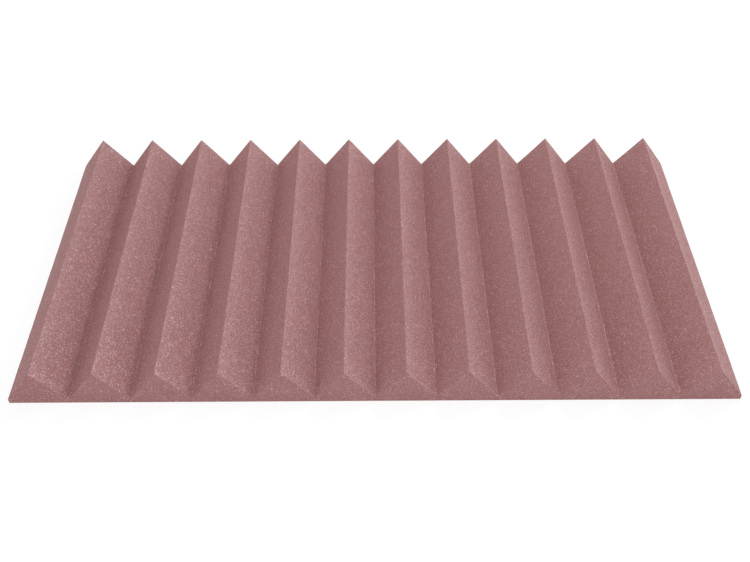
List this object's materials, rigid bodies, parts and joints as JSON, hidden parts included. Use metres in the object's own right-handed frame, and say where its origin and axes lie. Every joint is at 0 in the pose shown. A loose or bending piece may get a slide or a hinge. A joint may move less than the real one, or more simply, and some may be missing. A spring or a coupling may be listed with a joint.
{
  "type": "acoustic foam panel",
  "caption": "Flat sound-absorbing foam panel with parallel wedges across its face, straight-cut ends, and a self-adhesive back under a split release paper.",
  "frame": {"origin": "middle of the back, on the surface that the panel lies on", "axes": "+Z out of the wedged face, +X across the wedges along the panel's length, +Y along the wedges"},
  "size_m": [1.2192, 0.6096, 0.076],
  "materials": {
    "foam": "matt open-cell polyurethane foam, cut face",
    "adhesive": "tacky clear acrylic film",
    "release_paper": "silicone-coated paper, satin"
  },
  "bodies": {
    "root": {"foam_panel": "foam", "adhesive_film": "adhesive", "release_liner_left": "release_paper", "release_liner_right": "release_paper"}
  },
  "joints": []
}
